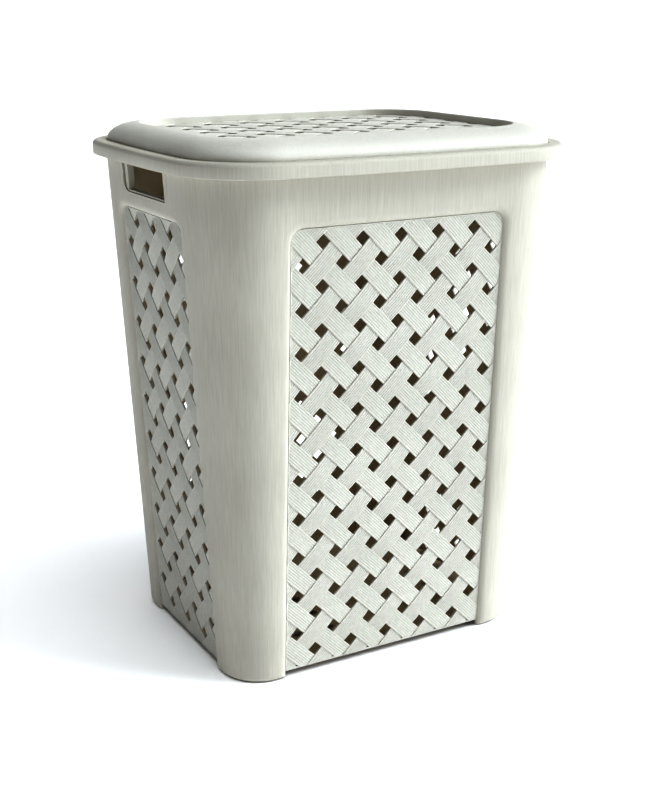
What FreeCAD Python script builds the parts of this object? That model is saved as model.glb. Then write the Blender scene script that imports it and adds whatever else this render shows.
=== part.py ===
import FreeCAD, Part
import math
import os

# Laundry hamper with a hinged, domed lid and woven-look panels.
# Millimetres. Origin: on the floor at the centre of the footprint. +Z up, the front faces -Y,
# the lid is hinged along the rear (+Y) side.

os.makedirs("parts", exist_ok=True)

Vector = FreeCAD.Vector

# --- Driving dimensions -------------------------------------------------------------------

# Tapered body: half sizes at the floor, outward run per millimetre of height, corner radii.
BASE_X = 183.5
BASE_Y = 142.0
LEAN_X = 0.0548
LEAN_Y = 0.0419
BASE_RADIUS = 47.0
RADIUS_GROWTH = 0.0463
BODY_TOP = 549.0
WALL = 2.6
FOOT_PLATE = 3.0
FOOT_ROUND = 4.0

# Windows in the four walls, which the woven panels fill. They run down to open feet.
FRONT_WINDOW = 126.0
SIDE_WINDOW = 81.0
WINDOW_TOP = 490.0
WINDOW_CORNER = 13.0
RETURN_DEPTH = 7.0

# Weave: square holes standing on a corner, half a pitch apart along both axes.
PITCH = 22.5
HOLE_SIDE = 11.5
TOP_ROW = 475.7
ROWS = 21
FRONT_COLUMNS = 5
SIDE_COLUMNS = 3
WEAVE_FACE = -4.0
WEAVE_BACK = -6.6
TRAY_BACK = -9.4
TRAY_WALL = 2.0
PANEL_FOOT = 7.5
SEAT_WIDTH = 6.0
GAP = 0.2

# Hand holes in the short walls, directly under the collar, and the liners clipped into them.
GRIP_HALF = 60.0
GRIP_LOW = 509.0
GRIP_HIGH = 545.0
GRIP_CORNER = 12.0
LINER_OPENING = 48.0
LINER_STRIP = 56.5
LINER_FACE = -1.2
LINER_DEPTH = 8.0
LINER_WALL = 2.0
LINER_TOP = 541.6
LINER_CLIP = 6.0

# Floor plate, standing on the feet.
FLOOR_X = 174.0
FLOOR_Y = 131.5
FLOOR_RADIUS = 36.0
FLOOR_LOW = 12.0
FLOOR_HIGH = 14.6
FLOOR_PAD_RADIUS = 9.0
DRAIN_RADIUS = 6.0
DRAIN_STEP = 40.0

# Rim collar: outer outline, its slightly bowed sides, the lid's pocket and the mouth.
COLLAR_X = 229.5
COLLAR_Y = 187.5
COLLAR_RADIUS = 89.0
BOW = 3.0
COLLAR_LOW = 542.0
COLLAR_HIGH = 557.0
COLLAR_WALL = 2.5
COLLAR_ROUND = 4.0
SEAT_LOW = 549.3
SEAT_HIGH = 551.8
MOUTH_X = 204.0
MOUTH_Y = 156.0
MOUTH_RADIUS = 62.0
SKIRT_LOW = 544.0

# Lid: foot outline inside the collar, dome and the recess for its woven panel.
LID_X = 213.5
LID_Y = 175.0
LID_RADIUS = 78.0
LID_FOOT = 552.1
DOME_SPRING = 557.0
LID_TOP = 575.5
LID_WALL = 2.5
POCKET_GAP = 1.0
RECESS_X = 181.0
RECESS_Y = 136.0
RECESS_RADIUS = 62.0
RECESS_FLOOR = 568.3
RECESS_LEDGE = 566.0
LEDGE_WIDTH = 5.0
WELL_LOW = 563.0
LID_COLUMNS = 7
LID_ROWS = 5
DOME_STEPS = 6
ARM_RUN = 12.0
ARM_LIFT = 0.6

# Hinge: two knuckles on the lid, each between the ears of a bracket behind the rear wall.
HINGE_X = 95.0
AXIS_Y = 180.5
AXIS_Z = 561.9
PIN_RADIUS = 2.0
PIN_CLEARANCE = 0.05
PIN_HEAD_RADIUS = 3.2
PIN_HEAD = 1.4
KNUCKLE_RADIUS = 4.5
KNUCKLE_HALF = 12.0
HEEL = 3.7
EAR_RADIUS = 4.2
EAR_GAP = 0.4
EAR_THICKNESS = 3.0
BRACKET_LOW = 515.0
BRACKET_CLEARANCE = 2.6
FIT = 0.3
WALL_CONTACT = 0.1
BRACKET_REAR = COLLAR_Y - COLLAR_WALL - BRACKET_CLEARANCE

# Length by which a cutting or joining shape runs past the surface it meets.
OVERRUN = 1.0
REACH = 20.0


# --- Shape helpers ------------------------------------------------------------------------

def outline(half_x, half_y, radius, z, bow=0.0):
    """Closed wire at height z: four corner arcs, and sides that are straight or bowed arcs.

    bow is the angle in degrees by which each side's ends turn away from the straight line.
    """
    angle = math.radians(bow)
    sine, cosine, slope = math.sin(angle), math.cos(angle), math.tan(angle / 2)
    reach_x = half_x - radius * (cosine + sine * slope)
    reach_y = half_y - radius * (cosine + sine * slope)
    centre_x = (reach_x - slope * reach_y) / (1 - slope ** 2)
    centre_y = (reach_y - slope * reach_x) / (1 - slope ** 2)
    near = Vector(centre_x + radius * cosine, centre_y + radius * sine, z)
    far = Vector(centre_x + radius * sine, centre_y + radius * cosine, z)
    diagonal = radius / math.sqrt(2)
    middle = Vector(centre_x + diagonal, centre_y + diagonal, z)

    def mirrored(point, sx, sy):
        return Vector(sx * point.x, sy * point.y, z)

    def side(start, through, end):
        if bow:
            return Part.Arc(start, through, end).toShape()
        return Part.LineSegment(start, end).toShape()

    edges = []
    for sx, sy in ((1, 1), (-1, 1), (-1, -1), (1, -1)):
        first, last = (near, far) if sx == sy else (far, near)
        first, last = mirrored(first, sx, sy), mirrored(last, sx, sy)
        edges.append(Part.Arc(first, mirrored(middle, sx, sy), last).toShape())
        if sx == sy:
            edges.append(side(last, Vector(0, sy * half_y, z), Vector(-last.x, last.y, z)))
        else:
            edges.append(side(last, Vector(sx * half_x, 0, z), Vector(last.x, -last.y, z)))
    return Part.Wire(edges)


def slab(half_x, half_y, radius, low, high, bow=0.0):
    """Straight-sided solid between two heights."""
    return Part.Face(outline(half_x, half_y, radius, low, bow)).extrude(Vector(0, 0, high - low))


def tapered(inset, low, high):
    """The body's tapered volume between two heights, its surface moved in by inset."""
    wires = []
    for z in (low, high):
        radius = BASE_RADIUS + RADIUS_GROWTH * z - inset
        wires.append(outline(BASE_X + LEAN_X * z - inset, BASE_Y + LEAN_Y * z - inset, radius, z))
    return Part.makeLoft(wires, True, True)


def box(x0, x1, y0, y1, z0, z1):
    """Box between two values on each axis, x in either order."""
    return Part.makeBox(abs(x1 - x0), y1 - y0, z1 - z0, Vector(min(x0, x1), y0, z0))


def arch(half, low, high, corner):
    """Face with square lower corners and rounded upper corners, in a wall's own plane."""
    turn = corner * (1 - math.sqrt(0.5))
    points = [Vector(-half, low), Vector(half, low), Vector(half, high - corner),
              Vector(half - corner, high), Vector(corner - half, high), Vector(-half, high - corner)]
    right = Part.Arc(points[2], Vector(half - turn, high - turn), points[3]).toShape()
    left = Part.Arc(points[4], Vector(turn - half, high - turn), points[5]).toShape()
    return Part.Wire([Part.makeLine(points[0], points[1]), Part.makeLine(points[1], points[2]), right,
                      Part.makeLine(points[3], points[4]), left, Part.makeLine(points[5], points[0])])


def plate(wires, back, face):
    """Plate between two depths in a wall's own frame, from an outer wire and its holes."""
    shape = Part.makeFace(wires, "Part::FaceMakerBullseye").extrude(Vector(0, 0, face - back))
    return shape.translated(Vector(0, 0, back))


def diamond(x, y):
    """Square hole standing on its corner."""
    reach = HOLE_SIDE / math.sqrt(2)
    corners = [Vector(x + reach, y), Vector(x, y + reach), Vector(x - reach, y), Vector(x, y - reach)]
    return Part.makePolygon(corners + [corners[0]])


def lattice(columns, rows, parity=0):
    """Hole centres as whole pitches: every second crossing of a grid."""
    return [(i, j) for j in rows for i in range(-columns, columns + 1) if (i + j) % 2 == parity]


class Side:
    """One wall: the placement of its own frame (x across, y up the wall, z outward)."""

    def __init__(self, turn, base, lean, window, columns):
        self.window = window
        self.columns = columns
        upright = FreeCAD.Rotation(Vector(1, 0, 0), 90 + math.degrees(math.atan(lean)))
        spin = FreeCAD.Placement(Vector(0, 0, 0), FreeCAD.Rotation(Vector(0, 0, 1), turn))
        self.placement = spin * FreeCAD.Placement(Vector(0, -base, 0), upright)

    def place(self, shape):
        placed = shape.copy()
        placed.Placement = self.placement.multiply(placed.Placement)
        return placed


SIDES = {
    "front": Side(0, BASE_Y, LEAN_Y, FRONT_WINDOW, FRONT_COLUMNS),
    "right": Side(90, BASE_X, LEAN_X, SIDE_WINDOW, SIDE_COLUMNS),
    "rear": Side(180, BASE_Y, LEAN_Y, FRONT_WINDOW, FRONT_COLUMNS),
    "left": Side(270, BASE_X, LEAN_X, SIDE_WINDOW, SIDE_COLUMNS),
}


# --- Body ---------------------------------------------------------------------------------

def grip_hole(inset, top):
    """Outline of a hand hole: rounded lower corners, square upper corners."""
    flipped = arch(GRIP_HALF - inset, -top, -(GRIP_LOW + inset), GRIP_CORNER - inset)
    flipped.rotate(Vector(0, 0, 0), Vector(0, 0, 1), 180)
    return flipped


def is_foot_edge(edge):
    """True for the outer bottom edges of the four feet."""
    if edge.BoundBox.ZMax > OVERRUN or edge.Length < 2 * WALL:
        return False
    middle = edge.valueAt((edge.FirstParameter + edge.LastParameter) / 2)
    on_side = abs(middle.x) > BASE_X - OVERRUN or abs(middle.y) > BASE_Y - OVERRUN
    return on_side or edge.Curve.TypeId != "Part::GeomLine"


def body_frame():
    """Four hollow corner posts on closed feet, joined by a deep upper band."""
    shell = tapered(0, 0, BODY_TOP).cut(tapered(WALL, -OVERRUN, BODY_TOP + OVERRUN))
    feet = tapered(0, 0, FOOT_PLATE)
    feet = feet.cut(box(-FRONT_WINDOW, FRONT_WINDOW, -BASE_X, BASE_X, -OVERRUN, 2 * FOOT_PLATE))
    feet = feet.cut(box(-2 * BASE_X, 2 * BASE_X, -SIDE_WINDOW, SIDE_WINDOW, -OVERRUN, 2 * FOOT_PLATE))
    frame = shell.fuse(feet)
    returns = []
    windows = []
    for side in SIDES.values():
        rim = arch(side.window + WALL, 0, WINDOW_TOP + WALL, WINDOW_CORNER + WALL)
        returns.append(side.place(plate([rim], -RETURN_DEPTH, 0)))
        opening = arch(side.window, -REACH, WINDOW_TOP, WINDOW_CORNER)
        windows.append(side.place(plate([opening], -2 * REACH, REACH)))
    frame = frame.fuse(returns).common(tapered(0, 0, BODY_TOP)).cut(windows).removeSplitter()
    frame = frame.makeFillet(FOOT_ROUND, [edge for edge in frame.Edges if is_foot_edge(edge)])
    for name in ("left", "right"):
        hole = plate([grip_hole(0, GRIP_HIGH)], -REACH, REACH)
        frame = frame.cut(SIDES[name].place(hole))
    return frame.removeSplitter()


def weave_panel(side):
    """Tray with a perforated face: it seats against the back of its window's return."""
    half = side.window - GAP
    top = WINDOW_TOP - GAP
    corner = WINDOW_CORNER - GAP
    outer = arch(half, PANEL_FOOT, top, corner)
    inner = arch(half - TRAY_WALL, PANEL_FOOT + TRAY_WALL, top - TRAY_WALL, corner - TRAY_WALL)
    holes = [diamond(i * PITCH, TOP_ROW - j * PITCH) for i, j in lattice(side.columns, range(ROWS))]
    face = plate([outer] + holes, WEAVE_BACK, WEAVE_FACE)
    wall = plate([outer, inner], TRAY_BACK, WEAVE_FACE)
    seat = arch(half + SEAT_WIDTH, PANEL_FOOT, top + SEAT_WIDTH, corner + SEAT_WIDTH)
    flange = plate([seat, inner], TRAY_BACK, -RETURN_DEPTH - GAP)
    return side.place(face.fuse([wall, flange]).removeSplitter())


def floor_panel():
    """Drained floor plate with four pads that stand on the feet."""
    floor = slab(FLOOR_X, FLOOR_Y, FLOOR_RADIUS, FLOOR_LOW, FLOOR_HIGH)
    drains = [Part.makeCylinder(DRAIN_RADIUS, FLOOR_HIGH, Vector(i * DRAIN_STEP, j * DRAIN_STEP, FOOT_PLATE))
              for i in range(-3, 4) for j in range(-2, 3)]
    pad_x = (FRONT_WINDOW + BASE_X) / 2
    pad_y = (SIDE_WINDOW + BASE_Y) / 2
    pads = [Part.makeCylinder(FLOOR_PAD_RADIUS, FLOOR_LOW - FOOT_PLATE + OVERRUN,
                              Vector(sx * pad_x, sy * pad_y, FOOT_PLATE))
            for sx in (-1, 1) for sy in (-1, 1)]
    return floor.cut(drains).fuse(pads).removeSplitter()


def grip_liner(side):
    """Liner of a hand hole: a sill, and two upright strips that stand clear of the hole's ends."""
    hole = plate([grip_hole(GAP, LINER_TOP)], -LINER_DEPTH, LINER_FACE)
    middle = box(-LINER_OPENING, LINER_OPENING, GRIP_LOW + GAP + LINER_WALL, GRIP_HIGH, -2 * LINER_DEPTH, 0)
    beyond = GRIP_HALF + OVERRUN
    ends = [box(sign * beyond, sign * LINER_STRIP, 0, GRIP_HIGH, -2 * LINER_DEPTH, 0) for sign in (-1, 1)]
    fin = LINER_OPENING + LINER_WALL
    hollows = [box(sign * beyond, sign * fin, 0, GRIP_HIGH, -2 * LINER_DEPTH, -WALL - 2 * LINER_WALL)
               for sign in (-1, 1)]
    liner = hole.cut([middle] + ends + hollows)
    clip = box(-LINER_STRIP, LINER_STRIP, GRIP_LOW - LINER_CLIP, GRIP_LOW + GAP + LINER_WALL,
               -WALL - GAP - LINER_WALL, -WALL - GAP)
    return side.place(liner.fuse(clip).removeSplitter())


def ear_slots():
    """Slots through the collar's rear ledge for the ears of both hinge brackets."""
    slots = []
    for centre in (-HINGE_X, HINGE_X):
        for sign in (-1, 1):
            middle = centre + sign * (KNUCKLE_HALF + EAR_GAP + EAR_THICKNESS / 2)
            half = EAR_THICKNESS / 2 + FIT
            slots.append(box(middle - half, middle + half, LID_Y + POCKET_GAP,
                             BRACKET_REAR + FIT, SEAT_LOW - OVERRUN, AXIS_Z))
    return slots


def rim_collar():
    """Hollow rim that caps the body: outer skirt, top ledge, lid seat and inner skirt."""

    def ring(inset, low, high):
        return slab(COLLAR_X - inset, COLLAR_Y - inset, COLLAR_RADIUS - inset, low, high, BOW)

    def pocket(grow, low, high):
        return slab(LID_X + grow, LID_Y + grow, LID_RADIUS + grow, low, high, BOW)

    def mouth(grow, low, high):
        return slab(MOUTH_X + grow, MOUTH_Y + grow, MOUTH_RADIUS + grow, low, high)

    collar = ring(0, COLLAR_LOW, COLLAR_HIGH)
    top_edges = [edge for edge in collar.Edges if edge.BoundBox.ZMin > COLLAR_HIGH - WALL_CONTACT]
    collar = collar.makeFillet(COLLAR_ROUND, top_edges)
    behind_step = ring(COLLAR_WALL, SEAT_LOW - WALL_CONTACT, COLLAR_HIGH - COLLAR_WALL)
    behind_step = behind_step.cut(pocket(POCKET_GAP + COLLAR_WALL, COLLAR_LOW, COLLAR_HIGH))
    collar = collar.cut([ring(COLLAR_WALL, COLLAR_LOW - OVERRUN, SEAT_LOW), behind_step,
                         pocket(POCKET_GAP, SEAT_HIGH, COLLAR_HIGH + OVERRUN),
                         mouth(0, COLLAR_LOW, COLLAR_HIGH)])
    skirt = mouth(COLLAR_WALL, SKIRT_LOW, SEAT_HIGH).cut(mouth(0, COLLAR_LOW, COLLAR_HIGH))
    return collar.fuse(skirt).cut(ear_slots()).removeSplitter()


# --- Lid ----------------------------------------------------------------------------------

def dome(inset):
    """The lid's domed volume with its surface moved in by inset.

    Its outline shrinks from the foot to the recess along a quarter of an ellipse.
    """
    run_x = LID_X - RECESS_X
    run_y = LID_Y - RECESS_Y
    rise = LID_TOP - DOME_SPRING
    wires = []
    for step in range(DOME_STEPS + 1):
        angle = step / DOME_STEPS * math.pi / 2
        shrink = 1 - math.cos(angle)
        radius = LID_RADIUS + (RECESS_RADIUS - LID_RADIUS) * shrink - inset
        wires.append(outline(LID_X - run_x * shrink - inset, LID_Y - run_y * shrink - inset, radius,
                             DOME_SPRING + rise * math.sin(angle) - inset, BOW * (1.1 - shrink)))
    cap = Part.makeLoft(wires, True, False)
    skirt = Part.Face(wires[0]).extrude(Vector(0, 0, LID_FOOT - inset - DOME_SPRING))
    return cap.fuse(skirt)


def knuckle(centre):
    """Hinge barrel with a square heel that stops the open lid, and its arm to the dome."""
    low = centre - KNUCKLE_HALF
    high = centre + KNUCKLE_HALF
    barrel = Part.makeCylinder(KNUCKLE_RADIUS, 2 * KNUCKLE_HALF, Vector(low, AXIS_Y, AXIS_Z),
                               Vector(1, 0, 0))
    heel = box(low, high, AXIS_Y, AXIS_Y + HEEL, AXIS_Z, AXIS_Z + HEEL)
    arm = box(low, high, LID_Y - ARM_RUN, AXIS_Y, DOME_SPRING + ARM_LIFT, AXIS_Z + KNUCKLE_RADIUS)
    return barrel.fuse([heel, arm])


def lid_shell():
    """Domed lid with a well for the woven panel and two hinge knuckles."""
    shell = dome(0).fuse([knuckle(-HINGE_X), knuckle(HINGE_X)])
    shell = shell.cut(dome(LID_WALL))
    well = slab(RECESS_X + LID_WALL, RECESS_Y + LID_WALL, RECESS_RADIUS + LID_WALL,
                WELL_LOW, LID_TOP - OVERRUN)
    shell = shell.fuse(well)
    shell = shell.cut([slab(RECESS_X, RECESS_Y, RECESS_RADIUS, RECESS_LEDGE, LID_TOP + OVERRUN),
                       slab(RECESS_X - LEDGE_WIDTH, RECESS_Y - LEDGE_WIDTH,
                            RECESS_RADIUS - LEDGE_WIDTH, COLLAR_LOW, LID_TOP)])
    bore = Part.makeCylinder(PIN_RADIUS + PIN_CLEARANCE, 4 * HINGE_X,
                             Vector(-2 * HINGE_X, AXIS_Y, AXIS_Z), Vector(1, 0, 0))
    return shell.cut(bore).removeSplitter()


def clear_of_ledge(x, y):
    """True where a hole of the lid's panel stays inside the ledge that carries it."""
    margin = LEDGE_WIDTH + HOLE_SIDE / math.sqrt(2)
    past_x = max(abs(x) - RECESS_X + RECESS_RADIUS, 0)
    past_y = max(abs(y) - RECESS_Y + RECESS_RADIUS, 0)
    return math.hypot(past_x, past_y) < RECESS_RADIUS - margin


def lid_weave_panel():
    """Perforated insert that lies on the ledge of the lid's well."""
    outer = outline(RECESS_X - GAP, RECESS_Y - GAP, RECESS_RADIUS - GAP, 0)
    holes = [diamond(i * PITCH, j * PITCH)
             for i, j in lattice(LID_COLUMNS, range(-LID_ROWS, LID_ROWS + 1), 1)
             if clear_of_ledge(i * PITCH, j * PITCH)]
    return plate([outer] + holes, RECESS_LEDGE, RECESS_FLOOR)


# --- Hinge --------------------------------------------------------------------------------

def hinge_bracket(centre):
    """Gusset against the rear wall, with two ears that rise through the collar."""
    low = centre - KNUCKLE_HALF - EAR_GAP - EAR_THICKNESS
    width = 2 * (centre - low)
    step_back = LID_Y + POCKET_GAP + COLLAR_WALL + FIT
    seat = SEAT_LOW - GAP
    ledge = COLLAR_HIGH - COLLAR_WALL - GAP
    wall_low = BASE_Y + LEAN_Y * BRACKET_LOW + WALL_CONTACT
    wall_high = BASE_Y + LEAN_Y * seat + WALL_CONTACT
    profile = [(wall_low, BRACKET_LOW), (BRACKET_REAR, COLLAR_LOW), (BRACKET_REAR, ledge),
               (step_back, ledge), (step_back, seat), (wall_high, seat)]
    points = [Vector(low, y, z) for y, z in profile]
    bracket = Part.Face(Part.makePolygon(points + [points[0]])).extrude(Vector(width, 0, 0))
    for start in (low, low + width - EAR_THICKNESS):
        eye = Part.makeCylinder(EAR_RADIUS, EAR_THICKNESS, Vector(start, AXIS_Y, AXIS_Z), Vector(1, 0, 0))
        stem = box(start, start + EAR_THICKNESS, AXIS_Y - EAR_RADIUS, BRACKET_REAR, ledge - OVERRUN, AXIS_Z)
        bracket = bracket.fuse([eye, stem])
    bore = Part.makeCylinder(PIN_RADIUS + PIN_CLEARANCE, 2 * width, Vector(centre - width, AXIS_Y, AXIS_Z),
                             Vector(1, 0, 0))
    return bracket.cut(bore).removeSplitter()


def hinge_pin(centre):
    """Pin with a flat head at each end, outside the bracket's ears."""
    half = KNUCKLE_HALF + EAR_GAP + EAR_THICKNESS + GAP
    shank = Part.makeCylinder(PIN_RADIUS, 2 * half, Vector(centre - half, AXIS_Y, AXIS_Z), Vector(1, 0, 0))
    heads = [Part.makeCylinder(PIN_HEAD_RADIUS, PIN_HEAD, Vector(start, AXIS_Y, AXIS_Z), Vector(1, 0, 0))
             for start in (centre - half - PIN_HEAD, centre + half)]
    return shank.fuse(heads).removeSplitter()


# --- Output -------------------------------------------------------------------------------

def parts():
    yield "body_frame", body_frame()
    for name, side in SIDES.items():
        yield name + "_weave_panel", weave_panel(side)
    yield "floor_panel", floor_panel()
    yield "rim_collar", rim_collar()
    yield "lid_shell", lid_shell()
    yield "lid_weave_panel", lid_weave_panel()
    for name, sign in (("left", -1), ("right", 1)):
        yield name + "_grip_liner", grip_liner(SIDES[name])
        yield name + "_hinge_bracket", hinge_bracket(sign * HINGE_X)
        yield name + "_hinge_pin", hinge_pin(sign * HINGE_X)


for node, shape in parts():
    shape.exportStep("parts/" + node + ".step")
    size = shape.BoundBox
    print(f"{node}: {len(shape.Solids)} solid, valid {shape.isValid()}, volume {shape.Volume:.0f}, "
          f"z {size.ZMin:.1f} to {size.ZMax:.1f}, {size.XLength:.1f} x {size.YLength:.1f}")
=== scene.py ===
"""Looks of a laundry hamper with a domed, hinged lid and woven-look plastic panels.

Shapes are written in millimetres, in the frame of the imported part, and become metres when a
mesh is made. The front faces -Y and the lid is hinged along the rear.
"""

import math

import bmesh
import bpy
from mathutils import Matrix, Vector


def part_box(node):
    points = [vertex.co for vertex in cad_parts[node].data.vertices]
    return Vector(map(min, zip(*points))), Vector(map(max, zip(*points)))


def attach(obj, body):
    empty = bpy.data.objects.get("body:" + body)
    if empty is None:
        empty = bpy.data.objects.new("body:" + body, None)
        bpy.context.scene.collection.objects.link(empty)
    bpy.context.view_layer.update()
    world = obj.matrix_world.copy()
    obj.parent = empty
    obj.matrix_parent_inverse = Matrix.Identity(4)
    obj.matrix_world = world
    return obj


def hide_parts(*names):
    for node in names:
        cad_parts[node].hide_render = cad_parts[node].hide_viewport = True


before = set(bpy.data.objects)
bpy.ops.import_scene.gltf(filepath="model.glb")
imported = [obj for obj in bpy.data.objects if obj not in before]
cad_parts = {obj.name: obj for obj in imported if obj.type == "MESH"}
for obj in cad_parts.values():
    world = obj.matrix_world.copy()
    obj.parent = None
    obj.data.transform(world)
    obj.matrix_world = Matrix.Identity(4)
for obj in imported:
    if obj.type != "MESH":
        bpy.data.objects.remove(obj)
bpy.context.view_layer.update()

MM = 0.001

# An edge is shaded sharp where its faces meet at more than this many degrees.
SMOOTH = 32.0
WEAVE_SMOOTH = 38.0


def node_size(node):
    """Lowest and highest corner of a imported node, in millimetres."""
    low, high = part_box(node)
    return low / MM, high / MM


# --- Dimensions, in millimetres -----------------------------------------------------------

BODY_TOP = node_size("body_frame")[1].z
COLLAR_LOW, COLLAR_HIGH = (corner.z for corner in node_size("rim_collar"))
COLLAR_X = node_size("rim_collar")[1].x
COLLAR_Y = node_size("rim_collar")[1].y
LID_X = node_size("lid_shell")[1].x
LID_FOOT, LID_TOP = (corner.z for corner in node_size("lid_shell"))
PIN_LOW, PIN_HIGH = node_size("right_hinge_pin")

# Tapered body: half sizes at the floor, outward run per unit of height, corner radii.
BASE_X = 183.5
BASE_Y = 142.0
LEAN_X = 0.0548
LEAN_Y = 0.0419
BASE_RADIUS = 47.0
RADIUS_GROWTH = 0.0463
WALL = 2.6
FOOT_ROUND = 7.0

# Windows in the walls, and the soft edge by which the wall turns in to a panel.
FRONT_WINDOW = 126.0
SIDE_WINDOW = 81.0
WINDOW_TOP = 490.0
WINDOW_CORNER = 13.0
EDGE_WIDTH = 9.0
EDGE_DEPTH = 6.0
RETURN_DEPTH = 7.2

# Weave: strands at 45 degrees, one pitch between a crossing and the next hole. Heights are
# measured outward from the wall's face.
PITCH = 22.5
HOLE_SIDE = 11.5
STRAND = math.sqrt(2) * PITCH - HOLE_SIDE
SPAN = STRAND + 2 * HOLE_SIDE
TOP_ROW = 475.7
ROWS = 21
FRONT_COLUMNS = 5
SIDE_COLUMNS = 3
WEAVE_HIGH = -3.9
WEAVE_LOW = -5.1
WEAVE_BACK = -7.0
RIDGES = 8
GROOVE_DEPTH = 0.4
RIDGE_CREST = (0.3, 0.7)
EDGE_DROP = 0.3
CROWN_POWER = 2.2
TUCK = 0.8
SEAM = 0.05
PANEL_FOOT = 7.5
TRAY_WALL = 2.0
TRAY_BACK = -9.4
TRAY_LIP = 1.0
SEAT_WIDTH = 6.0
GAP = 0.2

# Hand holes in the short walls.
GRIP_HALF = 60.0
GRIP_LOW = 509.0
GRIP_HIGH = 545.0
GRIP_CORNER = 12.0
GRIP_REACH = 20.0

# Collar and lid.
BOW = 3.0
COLLAR_RADIUS = 89.0
COLLAR_WALL = 2.5
COLLAR_ROUND = 5.0
COLLAR_HEM = 1.2
COLLAR_HEM_MIDDLE = 0.35
POCKET_EDGE = 0.8
POCKET_EDGE_MIDDLE = 0.25
SEAT_LOW = 549.3
SEAT_HIGH = 551.8
MOUTH_X = 204.0
MOUTH_Y = 156.0
MOUTH_RADIUS = 62.0
SKIRT_LOW = 544.0
LID_Y = 175.0
LID_RADIUS = 78.0
LID_WALL = 2.5
LID_HEM = 0.6
POCKET_GAP = 1.0
DOME_SPRING = 557.0
RECESS_X = 181.0
RECESS_Y = 136.0
RECESS_RADIUS = 62.0
RECESS_LEDGE = 566.0
RECESS_ROUND = 1.5
WELL_LOW = 563.0
LEDGE_WIDTH = 5.0
LID_COLUMNS = 7
LID_ROWS = 5
LID_WEAVE_BACK = -7.4
LID_WEAVE_FLATNESS = 0.65
LID_WEAVE_OVERLAP = 0.6
LID_CLIP_TURNS = (9, 27, 45, 63, 81)

# Hinge.
AXIS_Y = (PIN_LOW.y + PIN_HIGH.y) / 2
AXIS_Z = (PIN_LOW.z + PIN_HIGH.z) / 2
HINGE_X = (PIN_LOW.x + PIN_HIGH.x) / 2
PIN_BORE = 2.05
KNUCKLE_RADIUS = 4.5
KNUCKLE_HALF = 12.0
KNUCKLE_EDGE = 0.4
KNUCKLE_TURN = 124
HEEL = 3.7
HEEL_CUT = 0.5
ARM_TOP_GAP = 6.5
ARM_FOOT_GAP = 2.5
ARM_LIFT = 0.7
ARM_START = (-1.5, 0.2)

# How far a face has to point inward, from 0 to 1 for straight in, to take the inside colour, which is
# painted shade.
FACING_IN = 0.3
FACING_BACK = 0.5


# --- Materials ----------------------------------------------------------------------------

class Nodes:
    """Short way to write a node tree."""

    def __init__(self, name):
        self.material = bpy.data.materials.new(name)
        self.material.use_nodes = True
        self.tree = self.material.node_tree
        self.shader = self.tree.nodes["Principled BSDF"]

    def add(self, kind, **values):
        node = self.tree.nodes.new(kind)
        for key, value in values.items():
            if key in node.inputs:
                node.inputs[key].default_value = value
            else:
                setattr(node, key, value)
        return node

    def link(self, source, target):
        self.tree.links.new(source, target)

    def position(self, stretch):
        """Object coordinates, scaled per axis."""
        place = self.add("ShaderNodeTexCoord")
        scale = self.add("ShaderNodeMapping")
        scale.inputs["Scale"].default_value = stretch
        self.link(place.outputs["Object"], scale.inputs["Vector"])
        return scale.outputs["Vector"]

    def noise(self, stretch, detail=3.0):
        texture = self.add("ShaderNodeTexNoise", Detail=detail, Roughness=0.55, Scale=1.0)
        self.link(self.position(stretch), texture.inputs["Vector"])
        return texture.outputs["Fac"]

    def colour(self, value, dark, light):
        """Base colour between two tones, from the middle of a noise's range."""
        ramp = self.add("ShaderNodeValToRGB")
        for stop, position, tone in zip(ramp.color_ramp.elements, (0.3, 0.7), (dark, light)):
            stop.position = position
            stop.color = (*tone, 1)
        self.link(value, ramp.inputs["Fac"])
        self.link(ramp.outputs["Color"], self.shader.inputs["Base Color"])

    def roughness(self, value, low, high):
        scale = self.add("ShaderNodeMapRange")
        scale.inputs["To Min"].default_value = low
        scale.inputs["To Max"].default_value = high
        self.link(value, scale.inputs["Value"])
        self.link(scale.outputs["Result"], self.shader.inputs["Roughness"])

    def bump(self, heights):
        """Chain of bumps from (height, strength, distance in metres)."""
        normal = None
        for height, strength, distance in heights:
            bump = self.add("ShaderNodeBump", Strength=strength, Distance=distance)
            self.link(height, bump.inputs["Height"])
            if normal is not None:
                self.link(normal, bump.inputs["Normal"])
            normal = bump.outputs["Normal"]
        self.link(normal, self.shader.inputs["Normal"])


def straw_plastic(name, dark, light, grain):
    """Matte moulded plastic with a fine drawn grain; grain is the noise scale per axis."""
    nodes = Nodes(name)
    lines = nodes.noise(grain, detail=4.0)
    cloud = nodes.noise((9, 9, 9), detail=2.0)
    mix = nodes.add("ShaderNodeMix", data_type="FLOAT")
    mix.inputs["Factor"].default_value = 0.45
    nodes.link(lines, mix.inputs["A"])
    nodes.link(cloud, mix.inputs["B"])
    nodes.colour(mix.outputs["Result"], dark, light)
    nodes.roughness(lines, 0.42, 0.62)
    speckle = nodes.noise((2600, 2600, 2600), detail=2.0)
    nodes.bump([(lines, 0.35, 0.0004), (speckle, 0.12, 0.0001)])
    nodes.shader.inputs["IOR"].default_value = 1.46
    return nodes.material


def drawn_steel(name):
    """Plain steel with drawing lines along the pin."""
    nodes = Nodes(name)
    lines = nodes.noise((40, 3000, 3000), detail=3.0)
    nodes.colour(lines, (0.42, 0.42, 0.43), (0.62, 0.62, 0.62))
    nodes.roughness(lines, 0.25, 0.45)
    nodes.shader.inputs["Metallic"].default_value = 1.0
    nodes.bump([(lines, 0.2, 0.00005)])
    return nodes.material


def pale_floor(name):
    nodes = Nodes(name)
    nodes.colour(nodes.noise((3, 3, 3)), (0.93, 0.94, 0.95), (0.96, 0.96, 0.97))
    nodes.shader.inputs["Roughness"].default_value = 0.9
    return nodes.material


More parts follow.
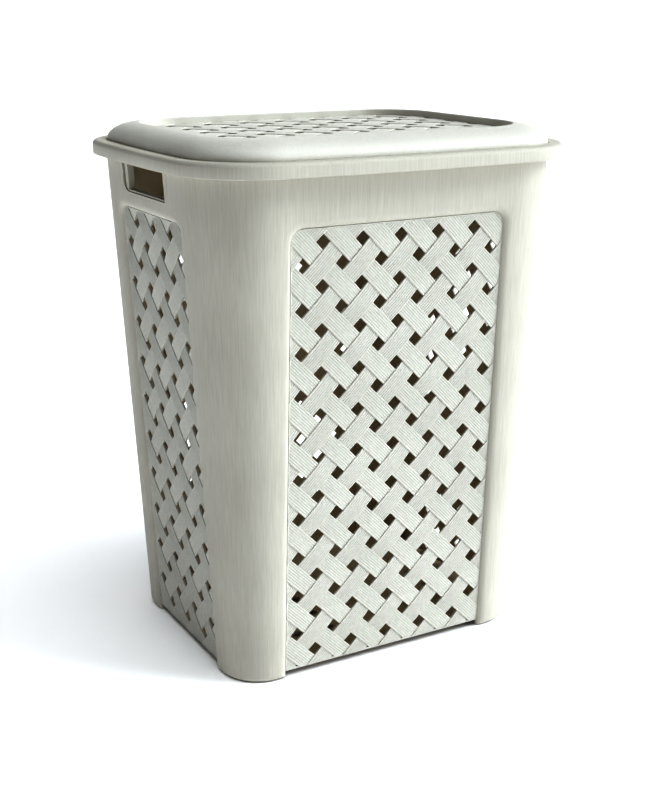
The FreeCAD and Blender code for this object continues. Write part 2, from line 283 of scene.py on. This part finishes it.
UPRIGHT_GRAIN = (620, 620, 7)
FLAT_GRAIN = (520, 30, 520)
EVEN_GRAIN = (260, 260, 260)
OUTSIDE = straw_plastic("ivory_grained", (0.67, 0.65, 0.585), (0.78, 0.76, 0.69), UPRIGHT_GRAIN)
WOVEN = straw_plastic("ivory_strand", (0.70, 0.69, 0.635), (0.81, 0.80, 0.745), EVEN_GRAIN)
# Painted shade: a warm tan copy of the ivory for faces inside the basket, standing in for the dim,
# warm light in there.
INSIDE_PAINTED_SHADE = straw_plastic("ivory_painted_shade_inside", (0.91, 0.81, 0.64), (0.95, 0.87, 0.71), UPRIGHT_GRAIN)
# Painted light: a lighter copy of the ivory for the lid, which makes its upward faces brighter than
# the body's.
LID_PAINTED_LIGHT = straw_plastic("ivory_lid_painted_light", (0.82, 0.805, 0.745), (0.90, 0.885, 0.83), FLAT_GRAIN)
STEEL = drawn_steel("pin_steel")


# --- Mesh helpers -------------------------------------------------------------------------

def outline(half_x, half_y, radius, z, bow=0.0, corner_steps=16, side_steps=12):
    """Closed ring of points: rounded corners, and sides that bow out by an angle in degrees."""
    angle = math.radians(bow)
    sine, cosine, slope = math.sin(angle), math.cos(angle), math.tan(angle / 2)
    reach_x = half_x - radius * (cosine + sine * slope)
    reach_y = half_y - radius * (cosine + sine * slope)
    centre_x = (reach_x - slope * reach_y) / (1 - slope ** 2)
    centre_y = (reach_y - slope * reach_x) / (1 - slope ** 2)
    quarter = []
    for step in range(corner_steps + 1):
        turn = angle + (math.pi / 2 - 2 * angle) * step / corner_steps
        quarter.append((centre_x + radius * math.cos(turn), centre_y + radius * math.sin(turn)))
    points = []
    for index, (sx, sy) in enumerate(((1, 1), (-1, 1), (-1, -1), (1, -1))):
        corner = [(sx * x, sy * y) for x, y in (quarter if sx == sy else reversed(quarter))]
        points += corner
        end_x, end_y = corner[-1]
        across = index % 2 == 0
        half = abs(end_x if across else end_y)
        rise = half * slope
        for step in range(1, side_steps):
            share = 1 - 2 * step / side_steps
            swell = rise * (1 - share ** 2)
            if across:
                points.append((end_x * share, end_y + sy * swell))
            else:
                points.append((end_x + sx * swell, end_y * share))
    return [Vector((x, y, z)) for x, y in points]


def add_strip(bm, first, second, closed=False):
    """Quads between two rows of vertices of equal length."""
    count = len(first)
    for i in range(count if closed else count - 1):
        j = (i + 1) % count
        bm.faces.new((first[i], first[j], second[j], second[i]))


def piece_from(bm, name, smooth=SMOOTH):
    """Makes the object, in metres, with edges sharper than an angle kept sharp."""
    bmesh.ops.scale(bm, vec=(MM, MM, MM), verts=bm.verts)
    mesh = bpy.data.meshes.new(name)
    bm.to_mesh(mesh)
    bm.free()
    mesh.shade_smooth()
    mesh.set_sharp_from_angle(angle=math.radians(smooth))
    piece = bpy.data.objects.new(name, mesh)
    bpy.context.scene.collection.objects.link(piece)
    return piece


def ring_piece(name, rings):
    """Closed band whose section runs through a list of equal rings of points."""
    bm = bmesh.new()
    rows = [[bm.verts.new(point) for point in ring] for ring in rings]
    for first, second in zip(rows, rows[1:] + rows[:1]):
        add_strip(bm, first, second, closed=True)
    bmesh.ops.recalc_face_normals(bm, faces=bm.faces)
    return piece_from(bm, name)


def apply_modifiers(piece):
    """Bakes the piece's modifiers into its mesh."""
    graph = bpy.context.evaluated_depsgraph_get()
    mesh = bpy.data.meshes.new_from_object(piece.evaluated_get(graph))
    piece.modifiers.clear()
    piece.data = mesh


def cut_out(piece, cutters):
    """Removes the volume of each cutter, and the cutters themselves."""
    for cutter in cutters:
        cut = piece.modifiers.new("cut", "BOOLEAN")
        cut.operation = "DIFFERENCE"
        cut.solver = "EXACT"
        cut.object = cutter
    apply_modifiers(piece)
    for cutter in cutters:
        bpy.data.objects.remove(cutter)
    piece.data.shade_smooth()
    piece.data.set_sharp_from_angle(angle=math.radians(SMOOTH))


def prism(name, ring, offset):
    """Closed solid from a ring of points moved by an offset."""
    bm = bmesh.new()
    low = [bm.verts.new(point) for point in ring]
    high = [bm.verts.new(point + offset) for point in ring]
    add_strip(bm, low, high, closed=True)
    bm.faces.new(low)
    bm.faces.new(high)
    bmesh.ops.recalc_face_normals(bm, faces=bm.faces)
    return piece_from(bm, name)


def paint(piece, outside, inside=None, is_inside=None):
    """One material, or a second one on the faces that is_inside picks (centre and normal, mm)."""
    piece.data.materials.clear()
    piece.data.materials.append(outside)
    if inside is None:
        return
    piece.data.materials.append(inside)
    for face in piece.data.polygons:
        face.material_index = 1 if is_inside(face.center / MM, face.normal) else 0


def place(piece, body, slot, *nodes):
    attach(piece, body)
    if nodes:
        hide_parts(*nodes)


# --- Walls --------------------------------------------------------------------------------

class Side:
    """One wall: its own frame has u across, v up the wall and n outward."""

    def __init__(self, turn, base, lean, across, across_lean, window, columns):
        self.across = across
        self.across_lean = across_lean
        self.window = window
        self.columns = columns
        self.stretch = math.sqrt(1 + lean ** 2)
        spin = Matrix.Rotation(math.radians(turn), 4, "Z")
        tilt = Matrix.Rotation(math.radians(90) + math.atan(lean), 4, "X")
        self.matrix = spin @ Matrix.Translation((0, -base, 0)) @ tilt

    def point(self, u, v, n):
        return self.matrix @ Vector((u, v, n))

    def edge(self, z):
        """Half width of the flat part of the wall at a height."""
        return self.across + self.across_lean * z - BASE_RADIUS - RADIUS_GROWTH * z


SIDES = {
    "front": Side(0, BASE_Y, LEAN_Y, BASE_X, LEAN_X, FRONT_WINDOW, FRONT_COLUMNS),
    "right": Side(90, BASE_X, LEAN_X, BASE_Y, LEAN_Y, SIDE_WINDOW, SIDE_COLUMNS),
    "rear": Side(180, BASE_Y, LEAN_Y, BASE_X, LEAN_X, FRONT_WINDOW, FRONT_COLUMNS),
    "left": Side(270, BASE_X, LEAN_X, BASE_Y, LEAN_Y, SIDE_WINDOW, SIDE_COLUMNS),
}


def arch(half, levels, high, corner, grow=0.0, turn_steps=8, top_steps=10):
    """Open path up one side, over the top and down the other, moved outward by grow."""
    left = [(-half - grow, v) for v in levels]
    for step in range(1, turn_steps + 1):
        turn = math.pi - math.pi / 2 * step / turn_steps
        left.append((corner - half + (corner + grow) * math.cos(turn),
                     high - corner + (corner + grow) * math.sin(turn)))
    span = half - corner
    top = [(-span + 2 * span * step / top_steps, high + grow) for step in range(1, top_steps)]
    return left + top + [(-u, v) for u, v in reversed(left)]


def foot_levels(steps=5):
    """(height, inset) down the rounded bottom edge of a foot."""
    turns = [math.pi / 2 * step / steps for step in range(steps + 1)]
    return [(FOOT_ROUND * (1 - math.cos(turn)), FOOT_ROUND * (1 - math.sin(turn))) for turn in turns]


def soft_edge(steps=8):
    """(distance outside the window, depth) from the wall's face in to the panel."""
    profile = []
    for step in range(steps + 1):
        turn = math.pi / 2 * step / steps
        profile.append((EDGE_WIDTH * (1 - math.sin(turn)), -EDGE_DEPTH * (1 - math.cos(turn))))
    return profile + [(0.0, -RETURN_DEPTH)]


def post_levels():
    """Heights of the rows of a post up to where the window's corners start, with insets."""
    feet = foot_levels()
    top = WINDOW_TOP - WINDOW_CORNER
    plain = [(FOOT_ROUND + (top - FOOT_ROUND) * step / 8, 0.0) for step in range(1, 9)]
    return feet + plain


def band_levels(steps=3):
    """Heights of the rows beside the window's corners, up to the body's top edge."""
    low = WINDOW_TOP - WINDOW_CORNER
    return [(low + (BODY_TOP - low) * step / steps, 0.0) for step in range(1, steps + 1)]


def wall_skin(bm, side):
    """The flat of one wall and the soft edge of its window."""
    levels = post_levels()
    insets = [inset for z, inset in levels]
    path_levels = [z * side.stretch for z, inset in levels]
    turn_steps = 9
    top_steps = 10
    rows = []
    for grow, depth in soft_edge():
        path = arch(side.window, path_levels, WINDOW_TOP, WINDOW_CORNER, grow, turn_steps, top_steps)
        middle = len(path) - 2 * len(levels)
        depths = insets + [0.0] * middle + insets[::-1]
        rows.append([bm.verts.new(side.point(u, v, min(depth, -inset)))
                     for (u, v), inset in zip(path, depths)])
    for first, second in zip(rows, rows[1:]):
        add_strip(bm, first, second)

    top = BODY_TOP * side.stretch
    left = [(-side.edge(z), z * side.stretch, -inset) for z, inset in levels]
    left += [(-side.edge(z), z * side.stretch, 0.0) for z, inset in band_levels()]
    shoulder = turn_steps - 3
    inner = side.window - WINDOW_CORNER
    edge = side.edge(BODY_TOP)
    left += [(-edge + (edge - inner) * step / shoulder, top, 0.0) for step in range(1, shoulder + 1)]
    upper = [(-inner + 2 * inner * step / top_steps, top, 0.0) for step in range(1, top_steps)]
    outer = left + upper + [(-u, v, n) for u, v, n in reversed(left)]
    border = [bm.verts.new(side.point(u, v, n)) for u, v, n in outer]
    add_strip(bm, border, rows[0])


def corner_skin(bm, sx, sy, steps=14):
    """The rounded corner of the body."""
    rows = []
    for z, inset in post_levels() + band_levels():
        radius = BASE_RADIUS + RADIUS_GROWTH * z
        centre_x = BASE_X + LEAN_X * z - radius
        centre_y = BASE_Y + LEAN_Y * z - radius
        row = []
        for step in range(steps + 1):
            turn = math.pi / 2 * step / steps
            x = centre_x + (radius - inset) * math.cos(turn)
            y = centre_y + (radius - inset) * math.sin(turn)
            row.append(bm.verts.new((sx * x, sy * y, z)))
        rows.append(row if sx == sy else row[::-1])
    for first, second in zip(rows, rows[1:]):
        add_strip(bm, second, first)


def foot_cap(bm, sx, sy, steps=14):
    """The sole of a foot, from the rounded corner in to the windows."""
    centre_x = BASE_X - BASE_RADIUS
    centre_y = BASE_Y - BASE_RADIUS
    radius = BASE_RADIUS - FOOT_ROUND
    ring = [(FRONT_WINDOW, SIDE_WINDOW), (BASE_X - FOOT_ROUND, SIDE_WINDOW)]
    ring += [(centre_x + radius * math.cos(math.pi / 2 * step / steps),
              centre_y + radius * math.sin(math.pi / 2 * step / steps)) for step in range(steps + 1)]
    ring.append((FRONT_WINDOW, BASE_Y - FOOT_ROUND))
    face = bm.faces.new([bm.verts.new((sx * x, sy * y, 0)) for x, y in ring])
    face.normal_update()
    if face.normal.z > 0:
        face.normal_flip()


def grip_cutter(side, steps=8):
    """Solid in the shape of a hand hole, right through its wall."""
    points = [(-GRIP_HALF, GRIP_HIGH), (GRIP_HALF, GRIP_HIGH)]
    for sign in (1, -1):
        for step in range(steps + 1):
            turn = math.pi / 2 * (step if sign > 0 else steps - step) / steps
            points.append((sign * (GRIP_HALF - GRIP_CORNER + GRIP_CORNER * math.cos(turn)),
                           GRIP_LOW + GRIP_CORNER - GRIP_CORNER * math.sin(turn)))
    inward = side.matrix.to_3x3() @ Vector((0, 0, -2 * GRIP_REACH))
    return prism("grip_cutter", [side.point(u, v, GRIP_REACH) for u, v in points], inward)


def body_frame():
    bm = bmesh.new()
    for side in SIDES.values():
        wall_skin(bm, side)
    for sx in (1, -1):
        for sy in (1, -1):
            corner_skin(bm, sx, sy)
            foot_cap(bm, sx, sy)
    bmesh.ops.remove_doubles(bm, verts=bm.verts, dist=0.05)
    bmesh.ops.recalc_face_normals(bm, faces=bm.faces)
    piece = piece_from(bm, "hamper_frame")
    outermost = max(piece.data.polygons, key=lambda face: face.center.x)
    if outermost.normal.x < 0:
        piece.data.flip_normals()
    skin = piece.modifiers.new("thickness", "SOLIDIFY")
    skin.thickness = WALL * MM
    skin.offset = -1
    skin.use_even_offset = True
    apply_modifiers(piece)
    cut_out(piece, [grip_cutter(SIDES[name]) for name in ("left", "right")])
    # Faces looking into the basket take the painted-shade inside colour.
    paint(piece, OUTSIDE, INSIDE_PAINTED_SHADE, faces_inward)
    place(piece, "basket", "frame_plastic", "body_frame")


def faces_inward(centre, normal):
    """True where a face of the walls looks into the basket."""
    x_wall = abs(centre.x) / (BASE_X + LEAN_X * centre.z)
    y_wall = abs(centre.y) / (BASE_Y + LEAN_Y * centre.z)
    if x_wall > y_wall:
        return -normal.x * math.copysign(1, centre.x) > FACING_IN
    return -normal.y * math.copysign(1, centre.y) > FACING_IN


# --- Weave --------------------------------------------------------------------------------

def strand_section():
    """(offset across, depth below the crown) of a strand with rounded lengthwise ridges."""
    ridge = STRAND / RIDGES
    crest_start, crest_end = RIDGE_CREST
    section = []
    for index in range(RIDGES):
        start = -STRAND / 2 + index * ridge
        if index:
            section.append((start, GROOVE_DEPTH))
        section += [(start + crest_start * ridge, 0.0), (start + crest_end * ridge, 0.0)]
    return [(-STRAND / 2, EDGE_DROP)] + section + [(STRAND / 2, EDGE_DROP)]


def add_strand(bm, u, v, rising, back, steps=10):
    """One visible stretch of a strand: arched over the crossing, its ends tucked under."""
    turn = math.radians(45 if rising else -45)
    along = Vector((math.cos(turn), math.sin(turn), 0))
    across = Vector((-math.sin(turn), math.cos(turn), 0))
    reach = SPAN / 2 + TUCK
    section = strand_section()
    rows = []
    for step in range(steps + 1):
        share = 2 * step / steps - 1
        crown = WEAVE_HIGH - (WEAVE_HIGH - WEAVE_LOW) * abs(share) ** CROWN_POWER
        middle = Vector((u, v, 0)) + along * (share * reach)
        rows.append([bm.verts.new(middle + across * offset + Vector((0, 0, crown - drop)))
                     for offset, drop in section])
    for first, second in zip(rows, rows[1:]):
        add_strip(bm, second, first)
    rim = rows[0] + [row[-1] for row in rows[1:-1]]
    rim += rows[-1][::-1] + [row[0] for row in rows[-2:0:-1]]
    base = [bm.verts.new((vert.co.x, vert.co.y, back)) for vert in rim]
    add_strip(bm, base, rim, closed=True)
    bm.faces.new(base)


def clip(bm, point, normal):
    """Cuts away what lies beyond a plane and closes the cut."""
    cut = bmesh.ops.bisect_plane(bm, geom=bm.verts[:] + bm.edges[:] + bm.faces[:], plane_co=point,
                                 plane_no=normal, clear_outer=True, dist=1e-5)
    edges = [item for item in cut["geom_cut"] if isinstance(item, bmesh.types.BMEdge)]
    bmesh.ops.holes_fill(bm, edges=edges, sides=0)


def weave_mesh(columns, rows, high_v, back, limits, parity=0):
    """Strands over the crossings of a lattice, clipped to (half width, low, high).

    With parity 1 the holes and the crossings change places.
    """
    bm = bmesh.new()
    for j in rows:
        for i in range(-columns - 1, columns + 2):
            if (i + j + parity) % 2:
                add_strand(bm, i * PITCH, high_v - j * PITCH, rising=(j + parity) % 2 != 0, back=back)
    half, low, high = limits
    clip(bm, (half, 0, 0), (1, 0, 0))
    clip(bm, (-half, 0, 0), (-1, 0, 0))
    clip(bm, (0, high, 0), (0, 1, 0))
    clip(bm, (0, low, 0), (0, -1, 0))
    return bm


def tray_ring(bm, half, high, side_steps=6, foot_steps=10):
    """Edge of a wall panel: a low wall and the flange behind the window's return."""
    corner = WINDOW_CORNER - GAP

    def closed_arch(grow, low):
        levels = [low + (high - corner - low) * step / side_steps for step in range(side_steps + 1)]
        path = arch(half, levels, high, corner, grow)
        reach = half + grow
        return path + [(reach - 2 * reach * step / foot_steps, low) for step in range(1, foot_steps)]

    lip = PANEL_FOOT + TRAY_WALL
    closed = GAP - SEAM
    seat = -RETURN_DEPTH - GAP
    section = [(-TRAY_WALL, lip, WEAVE_LOW), (closed, PANEL_FOOT, WEAVE_LOW + TRAY_LIP),
               (closed, PANEL_FOOT, seat), (SEAT_WIDTH, PANEL_FOOT, seat),
               (SEAT_WIDTH, PANEL_FOOT, TRAY_BACK), (-TRAY_WALL, lip, TRAY_BACK)]
    rows = [[bm.verts.new((u, v, n)) for u, v in closed_arch(grow, low)] for grow, low, n in section]
    for first, second in zip(rows, rows[1:] + rows[:1]):
        add_strip(bm, first, second, closed=True)


def weave_panel(name, side):
    half = side.window - GAP
    high = WINDOW_TOP - GAP
    bm = weave_mesh(side.columns, range(-1, ROWS + 1), TOP_ROW, WEAVE_BACK,
                    (half, PANEL_FOOT, high))
    tray_ring(bm, half, high)
    bmesh.ops.recalc_face_normals(bm, faces=bm.faces)
    bmesh.ops.transform(bm, matrix=side.matrix, verts=bm.verts)
    piece = piece_from(bm, "woven_" + name + "_panel", smooth=WEAVE_SMOOTH)
    outward = side.matrix.to_3x3() @ Vector((0, 0, 1))
    # The panel's back faces take the painted-shade inside colour.
    paint(piece, WOVEN, INSIDE_PAINTED_SHADE, lambda centre, normal: normal.dot(outward) < -FACING_BACK)
    place(piece, "basket", "weave_plastic", name + "_weave_panel")


def lid_weave():
    half = RECESS_X - GAP
    high = RECESS_Y - GAP
    bm = weave_mesh(LID_COLUMNS + 1, range(-LID_ROWS - 2, LID_ROWS + 3), 0, LID_WEAVE_BACK,
                    (half, -high, high), parity=1)
    for sx in (1, -1):
        for sy in (1, -1):
            centre = Vector((sx * (RECESS_X - RECESS_RADIUS), sy * (RECESS_Y - RECESS_RADIUS), 0))
            for turn in map(math.radians, LID_CLIP_TURNS):
                normal = Vector((sx * math.cos(turn), sy * math.sin(turn), 0))
                clip(bm, centre + normal * (RECESS_RADIUS + LID_WEAVE_OVERLAP), normal)
    bmesh.ops.recalc_face_normals(bm, faces=bm.faces)
    bmesh.ops.scale(bm, vec=(1, 1, LID_WEAVE_FLATNESS), verts=bm.verts)
    lift = RECESS_LEDGE - LID_WEAVE_BACK * LID_WEAVE_FLATNESS
    bmesh.ops.translate(bm, vec=(0, 0, lift), verts=bm.verts)
    piece = piece_from(bm, "woven_lid_panel", smooth=WEAVE_SMOOTH)
    # The lid's weave takes the lighter ivory, which is painted light.
    paint(piece, LID_PAINTED_LIGHT)
    place(piece, "lid", "weave_plastic", "lid_weave_panel")


# --- Collar and lid -----------------------------------------------------------------------

def rim_collar(round_steps=6):
    def outer(inset, z):
        return outline(COLLAR_X - inset, COLLAR_Y - inset, COLLAR_RADIUS - inset, z, BOW)

    def pocket(grow, z):
        return outline(LID_X + grow, LID_Y + grow, LID_RADIUS + grow, z, BOW)

    def mouth(grow, z):
        return outline(MOUTH_X + grow, MOUTH_Y + grow, MOUTH_RADIUS + grow, z)

    rings = [outer(COLLAR_HEM, COLLAR_LOW), outer(COLLAR_HEM_MIDDLE, COLLAR_LOW + COLLAR_HEM_MIDDLE),
             outer(0, COLLAR_LOW + COLLAR_HEM)]
    for step in range(round_steps + 1):
        turn = math.pi / 2 * step / round_steps
        rings.append(outer(COLLAR_ROUND * (1 - math.cos(turn)),
                           COLLAR_HIGH - COLLAR_ROUND * (1 - math.sin(turn))))
    rings += [pocket(POCKET_GAP + POCKET_EDGE, COLLAR_HIGH),
              pocket(POCKET_GAP + POCKET_EDGE_MIDDLE, COLLAR_HIGH - POCKET_EDGE_MIDDLE),
              pocket(POCKET_GAP, COLLAR_HIGH - POCKET_EDGE), pocket(POCKET_GAP, SEAT_HIGH),
              mouth(0, SEAT_HIGH), mouth(0, SKIRT_LOW), mouth(COLLAR_WALL, SKIRT_LOW),
              mouth(COLLAR_WALL, SEAT_LOW), pocket(POCKET_GAP + COLLAR_WALL, SEAT_LOW),
              pocket(POCKET_GAP + COLLAR_WALL, COLLAR_HIGH - COLLAR_WALL),
              outer(COLLAR_WALL, COLLAR_HIGH - COLLAR_WALL), outer(COLLAR_WALL, COLLAR_LOW)]
    piece = ring_piece("hamper_rim_collar", rings)
    paint(piece, OUTSIDE)
    place(piece, "basket", "frame_plastic", "rim_collar")


def dome_ring(angle, inset):
    """Ring of the lid's dome at an angle from its foot (0) to the recess's edge (90 degrees)."""
    shrink = 1 - math.cos(angle)
    half_x = LID_X - (LID_X - RECESS_X) * shrink - inset
    half_y = LID_Y - (LID_Y - RECESS_Y) * shrink - inset
    radius = LID_RADIUS + (RECESS_RADIUS - LID_RADIUS) * shrink - inset
    height = DOME_SPRING + (LID_TOP - DOME_SPRING) * math.sin(angle) - inset
    return outline(half_x, half_y, radius, height, BOW * (1 - shrink))


def lid_shell(dome_steps=20, edge_steps=4):
    def foot(inset, z):
        return outline(LID_X - inset, LID_Y - inset, LID_RADIUS - inset, z, BOW)

    def recess(grow, z):
        return outline(RECESS_X + grow, RECESS_Y + grow, RECESS_RADIUS + grow, z)

    angles = [math.pi / 2 * step / dome_steps for step in range(dome_steps)]
    rings = [foot(LID_HEM, LID_FOOT), foot(0, LID_FOOT + LID_HEM)]
    rings += [dome_ring(angle, 0) for angle in angles]
    for step in range(edge_steps + 1):
        turn = math.pi / 2 * step / edge_steps
        rings.append(recess(RECESS_ROUND * (1 - math.sin(turn)),
                            LID_TOP - RECESS_ROUND * (1 - math.cos(turn))))
    rings += [recess(0, RECESS_LEDGE), recess(-LEDGE_WIDTH, RECESS_LEDGE),
              recess(-LEDGE_WIDTH, WELL_LOW), recess(LID_WALL, WELL_LOW),
              recess(LID_WALL, LID_TOP - LID_WALL)]
    rings += [dome_ring(angle, LID_WALL) for angle in angles[-2::-1]]
    rings.append(foot(LID_WALL, LID_FOOT))
    piece = ring_piece("hamper_lid", rings)
    knuckles = [knuckle(-HINGE_X), knuckle(HINGE_X)]
    bpy.context.view_layer.update()
    with bpy.context.temp_override(active_object=piece, selected_editable_objects=[piece] + knuckles):
        bpy.ops.object.join()
    # The lid takes the lighter ivory, which is painted light.
    paint(piece, LID_PAINTED_LIGHT)
    place(piece, "lid", "frame_plastic", "lid_shell")


def knuckle(centre, barrel_steps=12, bore_steps=32):
    """Hinge barrel with its square heel and the arm that runs in to the dome, bored for the pin."""
    reach = LID_Y - AXIS_Y
    turns = [math.radians(KNUCKLE_TURN * step / barrel_steps - 90) for step in range(barrel_steps + 1)]
    contour = [(KNUCKLE_RADIUS * math.cos(turn), KNUCKLE_RADIUS * math.sin(turn)) for turn in turns]
    contour += [(HEEL, HEEL - HEEL_CUT), (HEEL - HEEL_CUT, HEEL), (0, KNUCKLE_RADIUS),
                (reach - ARM_TOP_GAP, KNUCKLE_RADIUS),
                (reach - ARM_FOOT_GAP, ARM_LIFT - KNUCKLE_RADIUS),
                (ARM_START[0], ARM_START[1] - KNUCKLE_RADIUS)]
    turns = [math.tau * step / bore_steps for step in range(bore_steps)]
    bore = [(PIN_BORE * math.cos(turn), PIN_BORE * math.sin(turn)) for turn in turns]
    curve = bpy.data.curves.new("knuckle", "CURVE")
    curve.dimensions = "2D"
    curve.fill_mode = "BOTH"
    curve.extrude = (KNUCKLE_HALF - KNUCKLE_EDGE) * MM
    curve.bevel_depth = KNUCKLE_EDGE * MM
    curve.bevel_resolution = 2
    curve.offset = -KNUCKLE_EDGE * MM
    for points in (contour, bore):
        spline = curve.splines.new("POLY")
        spline.points.add(len(points) - 1)
        for target, (y, z) in zip(spline.points, points):
            target.co = (y * MM, z * MM, 0, 1)
        spline.use_cyclic_u = True
    shape = bpy.data.objects.new("knuckle", curve)
    bpy.context.scene.collection.objects.link(shape)
    bpy.context.view_layer.update()
    mesh = bpy.data.meshes.new_from_object(shape)
    bpy.data.objects.remove(shape)
    # The curve's x, y and z become the part's y, z and x.
    mesh.transform(Matrix(((0, 0, 1, 0), (1, 0, 0, 0), (0, 1, 0, 0), (0, 0, 0, 1))))
    mesh.transform(Matrix.Translation(Vector((centre, AXIS_Y, AXIS_Z)) * MM))
    mesh.shade_smooth()
    mesh.set_sharp_from_angle(angle=math.radians(SMOOTH))
    piece = bpy.data.objects.new("knuckle", mesh)
    bpy.context.scene.collection.objects.link(piece)
    return piece


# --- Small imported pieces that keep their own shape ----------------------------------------

def finish_packed_pieces():
    # The floor panel takes the painted-shade inside colour.
    finishes = {"floor_panel": INSIDE_PAINTED_SHADE, "left_grip_liner": OUTSIDE, "right_grip_liner": OUTSIDE,
                "left_hinge_bracket": OUTSIDE, "right_hinge_bracket": OUTSIDE,
                "left_hinge_pin": STEEL, "right_hinge_pin": STEEL}
    for name, material in finishes.items():
        paint(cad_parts[name], material)


# --- Stage --------------------------------------------------------------------------------

FLOOR_HALF = 40000.0
FOCAL_LENGTH = 57.1
CAMERA_AT = (-0.6956, -1.2392, 0.6916)
CAMERA_DOWN = 17.09
CAMERA_TURN = -29.19

# Backdrop: the way it faces, where its soft edge starts and ends, and its strength off and on it.
BACKDROP_TOWARDS = (0.49, 0.87, 0.0)
BACKDROP_EDGE = (0.75, 0.93)
BACKDROP_STRENGTH = (0.05, 1.4)

# Lamps: name, direction to the lamp, strength, spread in degrees, colour.
LAMPS = (
    ("side_key", (0.86, -0.46, 0.27), 1.75, 40, (0.90, 0.95, 1.0)),
    ("high_key", (0.60, -0.47, 0.64), 1.15, 20, (0.92, 0.96, 1.0)),
    ("overhead", (0.05, -0.1, 1.0), 1.75, 60, (0.95, 0.98, 1.0)),
    ("floor_light", (-0.3, -0.35, 1.0), 1.5, 60, (1.0, 1.0, 1.0)),
)
SHADE_GAMMA = 0.5


def stage_floor():
    bm = bmesh.new()
    bmesh.ops.create_grid(bm, x_segments=8, y_segments=8, size=FLOOR_HALF)
    floor = piece_from(bm, "studio_floor")
    paint(floor, pale_floor("pale_floor"))


def camera():
    """Camera in front of the left corner, a little above the lid."""
    data = bpy.data.cameras.new("camera")
    data.sensor_width = 36.0
    data.lens = FOCAL_LENGTH
    data.clip_end = 100
    view = bpy.data.objects.new("camera", data)
    view.location = CAMERA_AT
    view.rotation_euler = (math.radians(90 - CAMERA_DOWN), 0, math.radians(CAMERA_TURN))
    bpy.context.scene.collection.objects.link(view)
    bpy.context.scene.camera = view


def studio_world():
    """White to the camera everywhere, and a light source only where the backdrop stands."""
    world = bpy.data.worlds.new("studio")
    world.use_nodes = True
    tree = world.node_tree
    direction = tree.nodes.new("ShaderNodeTexCoord")
    facing = tree.nodes.new("ShaderNodeVectorMath")
    facing.operation = "DOT_PRODUCT"
    facing.inputs[1].default_value = BACKDROP_TOWARDS
    tree.links.new(direction.outputs["Generated"], facing.inputs[0])
    backdrop = tree.nodes.new("ShaderNodeMapRange")
    backdrop.interpolation_type = "SMOOTHSTEP"
    limits = BACKDROP_EDGE + BACKDROP_STRENGTH
    for name, value in zip(("From Min", "From Max", "To Min", "To Max"), limits):
        backdrop.inputs[name].default_value = value
    tree.links.new(facing.outputs["Value"], backdrop.inputs["Value"])
    paths = tree.nodes.new("ShaderNodeLightPath")
    seen_white = tree.nodes.new("ShaderNodeMath")
    seen_white.operation = "MAXIMUM"
    tree.links.new(paths.outputs["Is Camera Ray"], seen_white.inputs[0])
    tree.links.new(backdrop.outputs["Result"], seen_white.inputs[1])
    tree.links.new(seen_white.outputs["Value"], tree.nodes["Background"].inputs["Strength"])
    tree.nodes["Background"].inputs["Color"].default_value = (1, 1, 1, 1)
    bpy.context.scene.world = world


def studio_lamps():
    """Two soft lamps from the right, one overhead, and one that lights only the floor."""
    for name, towards, energy, spread, colour in LAMPS:
        light = bpy.data.lights.new(name, "SUN")
        light.energy = energy
        light.angle = math.radians(spread)
        light.color = colour
        lamp = bpy.data.objects.new(name, light)
        lamp.rotation_euler = Vector(towards).to_track_quat("Z", "Y").to_euler()
        bpy.context.scene.collection.objects.link(lamp)
    lit = bpy.data.collections.new("lit_by_floor_light")
    lit.objects.link(bpy.data.objects["studio_floor"])
    bpy.data.objects["floor_light"].light_linking.receiver_collection = lit
    bpy.context.scene.view_settings.view_transform = "Standard"
    bpy.context.scene.view_settings.gamma = SHADE_GAMMA


body_frame()
for side_name, wall in SIDES.items():
    weave_panel(side_name, wall)
rim_collar()
lid_shell()
lid_weave()
finish_packed_pieces()
stage_floor()
camera()
studio_world()
studio_lamps()
